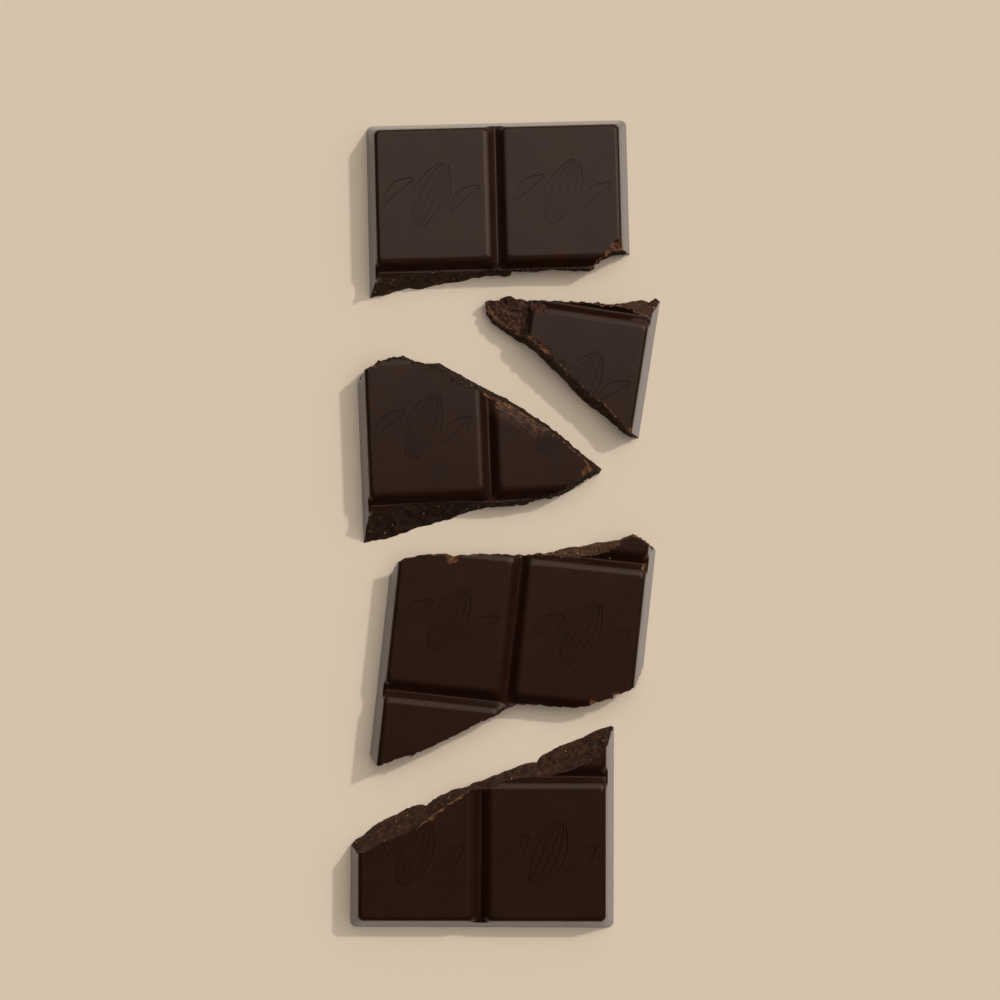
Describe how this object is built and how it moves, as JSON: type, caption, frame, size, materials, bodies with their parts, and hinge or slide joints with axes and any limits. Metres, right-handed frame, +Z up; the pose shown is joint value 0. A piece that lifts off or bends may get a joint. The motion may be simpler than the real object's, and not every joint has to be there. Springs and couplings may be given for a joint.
{
  "type": "broken chocolate bar",
  "caption": "Dark chocolate bar of moulded rectangles parted by V grooves, snapped by hand into rough-edged fragments lying flat in a column.",
  "frame": {"origin": "on the table, below the middle of the whole layout's outer box", "axes": "+X to the right of the picture, +Y up the picture along the column of fragments, +Z up off the table out of the moulded face"},
  "size_m": [0.0804, 0.21, 0.008],
  "materials": {
    "top_chocolate": "satin moulded dark chocolate, duller and browner where broken",
    "upper_right_chocolate": "satin moulded dark chocolate, duller and browner where broken",
    "middle_chocolate": "satin moulded dark chocolate, duller and browner where broken",
    "lower_chocolate": "satin moulded dark chocolate, duller and browner where broken",
    "bottom_chocolate": "satin moulded dark chocolate, duller and browner where broken"
  },
  "bodies": {
    "root": {"top_fragment": "top_chocolate", "upper_right_fragment": "upper_right_chocolate", "middle_fragment": "middle_chocolate", "lower_fragment": "lower_chocolate", "bottom_fragment": "bottom_chocolate"}
  },
  "joints": []
}
